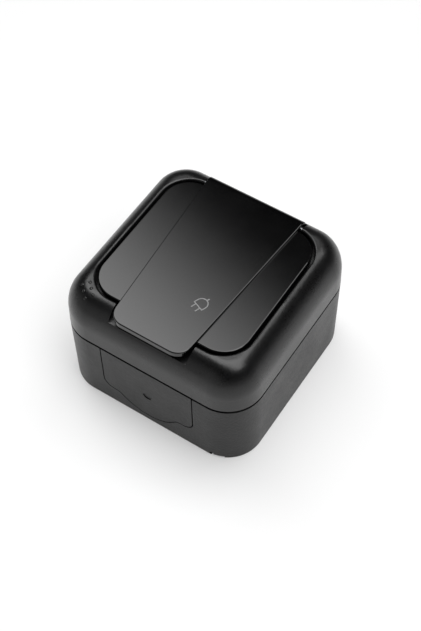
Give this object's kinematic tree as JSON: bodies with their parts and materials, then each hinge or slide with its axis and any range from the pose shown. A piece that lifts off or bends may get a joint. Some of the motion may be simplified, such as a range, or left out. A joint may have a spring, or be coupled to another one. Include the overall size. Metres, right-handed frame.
{
  "type": "outdoor weatherproof socket",
  "caption": "Black surface-mounted weatherproof mains socket: rounded square box, cover with a recessed sprung lid, slide-in cable panel and a round side-earthed plug well inside.",
  "frame": {"origin": "centre of the flat back that lies on the wall", "axes": "+Z out of the wall, +Y towards the lid's hinge (up on the wall), +X to the right"},
  "size_m": [0.076, 0.076, 0.0513],
  "materials": {
    "housing_plastic": "black moulded plastic with a fine grain",
    "cover_plastic": "black moulded plastic with a fine grain",
    "lid_plastic": "black moulded plastic, satin gloss",
    "well_plastic": "black moulded plastic, semi-gloss",
    "carrier_plastic": "pale heat-resisting moulding, matt",
    "seal_rubber": "black soft rubber",
    "steel": "zinc plated",
    "spring_steel": "drawn spring steel",
    "contact_brass": "stamped brass"
  },
  "bodies": {
    "housing": {"wall_box": "housing_plastic", "cable_entry_panel": "housing_plastic", "box_gasket": "seal_rubber", "cover_frame": "cover_plastic", "hinge_pin": "steel", "lid_spring": "spring_steel", "socket_well": "well_plastic", "well_gasket": "seal_rubber", "contact_carrier": "carrier_plastic", "line_contact": "contact_brass", "neutral_contact": "contact_brass", "fork_springs": "spring_steel", "earth_bridge": "contact_brass", "terminal_clamps": "steel", "terminal_screws": "steel", "carrier_screws": "steel", "cover_screws": "steel", "cover_screw_seals": "seal_rubber"},
    "lid_body": {"lid": "lid_plastic", "lid_seal": "seal_rubber"}
  },
  "joints": [
    {"name": "lid_hinge", "type": "hinge", "parent": "housing", "child": "lid_body", "pos_m": [0, 0.031, 0.0484], "axis": [-1, 0, 0], "range_deg": [0, 110], "stiffness_Nm_per_rad": 0.012, "springref_deg": -57.3, "deforming": ["lid_spring"]}
  ]
}
